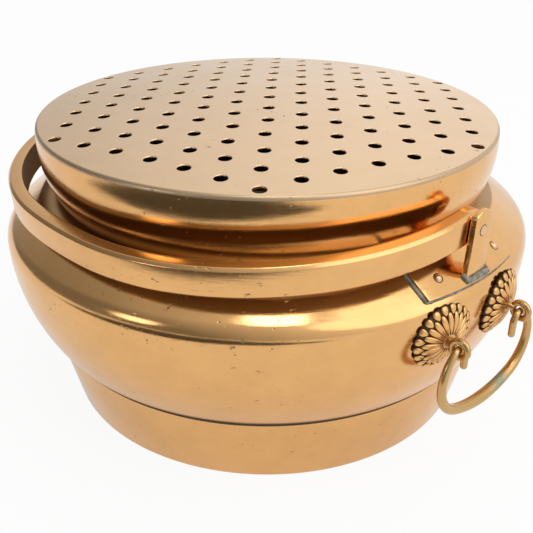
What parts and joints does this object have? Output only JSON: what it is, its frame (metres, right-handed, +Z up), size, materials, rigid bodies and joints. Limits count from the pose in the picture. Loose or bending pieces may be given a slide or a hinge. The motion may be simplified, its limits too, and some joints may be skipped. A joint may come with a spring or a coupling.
{
  "type": "chinese hand warmer",
  "caption": "Round brass hand warmer: bulging bowl on a foot ring, pierced lift-off lid, swinging bail handle on riveted lugs, and a drop ring with rosettes on each side.",
  "frame": {"origin": "middle of the foot ring's base", "axes": "+Z up, X through the two lugs and the two drop rings, the bail hangs towards -Y"},
  "size_m": [0.2616, 0.2372, 0.1327],
  "materials": {
    "brass": "polished, lightly worn",
    "lid_brass": "polished",
    "pale_brass": "polished",
    "aged_brass": "cast, dark in the hollows"
  },
  "bodies": {
    "bowl": {"bowl": "brass", "foot_ring": "brass", "mouth_collar": "aged_brass", "lug_plate_right": "brass", "lug_plate_left": "brass", "lug_right": "pale_brass", "lug_left": "pale_brass", "pivot_rivet_right": "pale_brass", "pivot_rivet_left": "pale_brass", "plate_rivets_right": "pale_brass", "plate_rivets_left": "pale_brass", "rosette_right_front": "aged_brass", "rosette_right_back": "aged_brass", "rosette_left_front": "aged_brass", "rosette_left_back": "aged_brass", "eyelet_right_front": "pale_brass", "eyelet_right_back": "pale_brass", "eyelet_left_front": "pale_brass", "eyelet_left_back": "pale_brass"},
    "lid": {"lid_plate": "lid_brass", "lid_skirt": "brass"},
    "bail": {"bail": "brass"},
    "drop_ring_right": {"drop_ring_right": "aged_brass"},
    "drop_ring_left": {"drop_ring_left": "aged_brass"}
  },
  "joints": [
    {"name": "lid_lift", "type": "slide", "parent": "bowl", "child": "lid", "axis": [0, 0, 1], "range_m": [0, 0.045]},
    {"name": "bail_swing", "type": "hinge", "parent": "bowl", "child": "bail", "pos_m": [0, 0, 0.107], "axis": [-1, 0, 0], "range_deg": [0, 187.7]},
    {"name": "ring_right_swing", "type": "hinge", "parent": "bowl", "child": "drop_ring_right", "pos_m": [0.12576, -0.00277, 0.07064], "axis": [-0.022, -0.9998, 0], "range_deg": [-12, 172]},
    {"name": "ring_left_swing", "type": "hinge", "parent": "bowl", "child": "drop_ring_left", "pos_m": [-0.12576, 0.00277, 0.07064], "axis": [0.022, 0.9998, 0], "range_deg": [-12, 172]}
  ]
}
